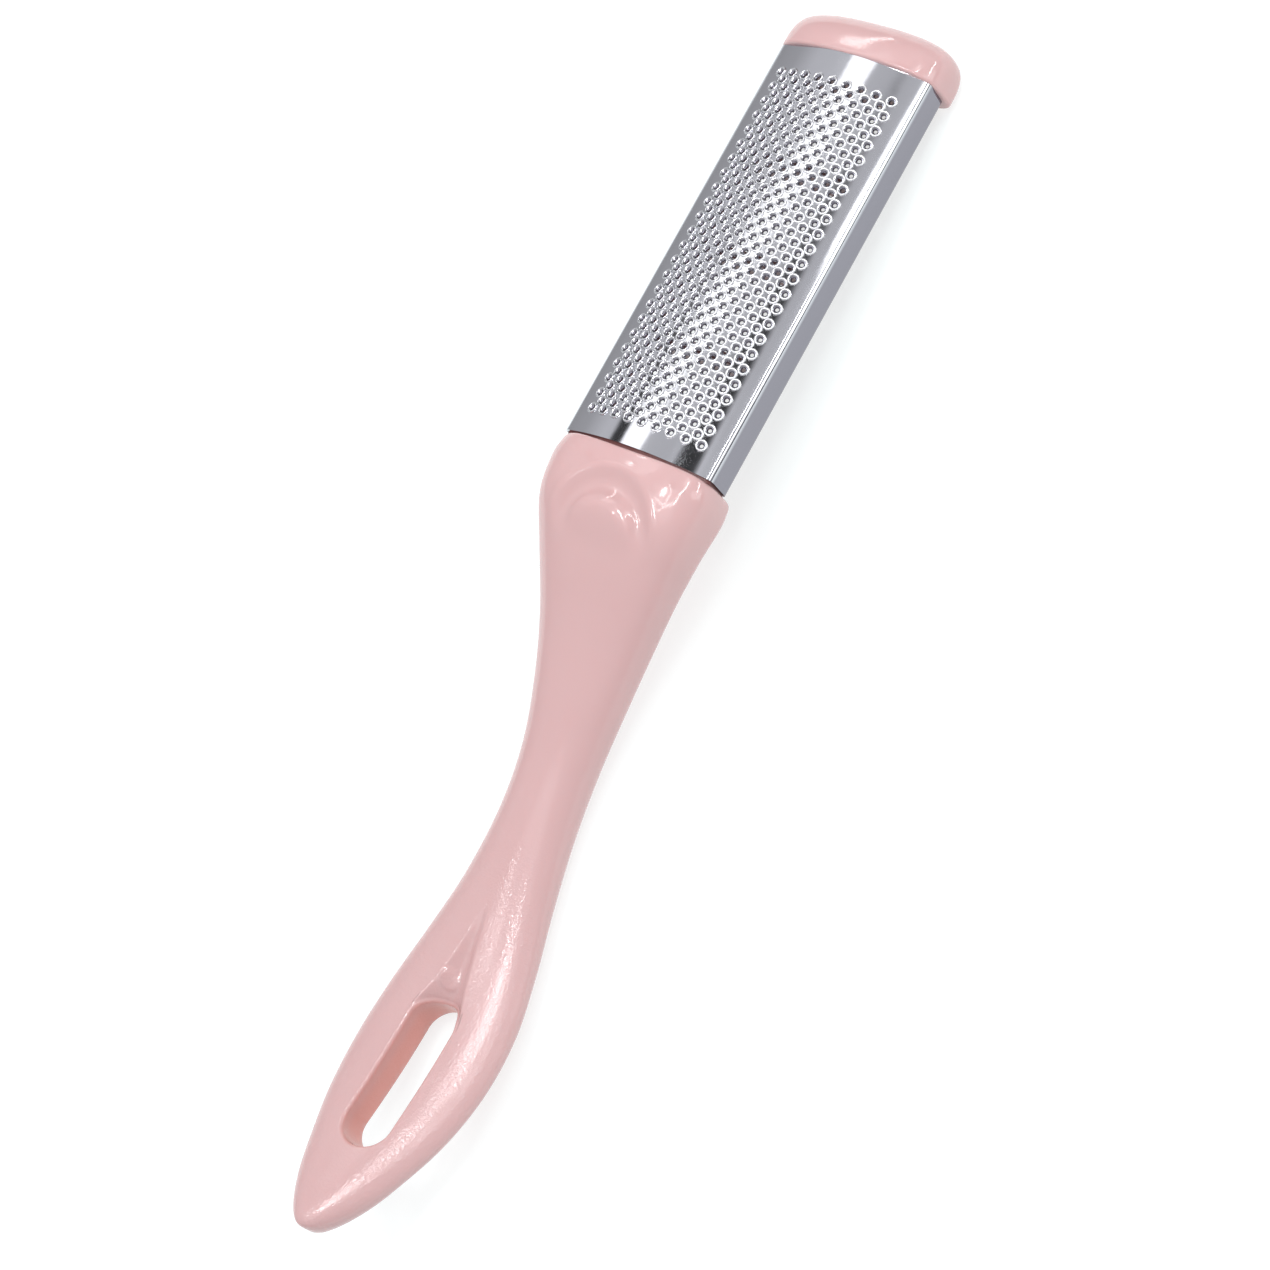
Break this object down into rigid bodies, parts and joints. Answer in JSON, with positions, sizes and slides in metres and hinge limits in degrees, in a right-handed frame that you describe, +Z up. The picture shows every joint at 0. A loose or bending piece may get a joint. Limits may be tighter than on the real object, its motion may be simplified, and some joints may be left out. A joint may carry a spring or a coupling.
{
  "type": "foot file",
  "caption": "Foot rasp: a crowned steel plate of raised punched holes on a moulded frame, a closing end cap and a curved one-piece handle with a thumb rest and a slotted hanging eye.",
  "frame": {"origin": "bottom centre of the box round the tool as it lies on a table, working face up, on the cap and the belly of the grip", "axes": "+X along the tool from the tip of the handle to the end cap, +Z up out of the working face, +Y to the left seen from the handle"},
  "size_m": [0.2284, 0.034, 0.0273],
  "materials": {
    "handle_plastic": "glossy moulded, pale pink",
    "cap_plastic": "glossy moulded, pale pink",
    "frame_plastic": "plain moulded, pale pink",
    "rasp_steel": "polished stainless sheet"
  },
  "bodies": {
    "root": {"handle": "handle_plastic", "plate_frame": "frame_plastic", "rasp_plate": "rasp_steel", "end_cap": "cap_plastic"}
  },
  "joints": []
}
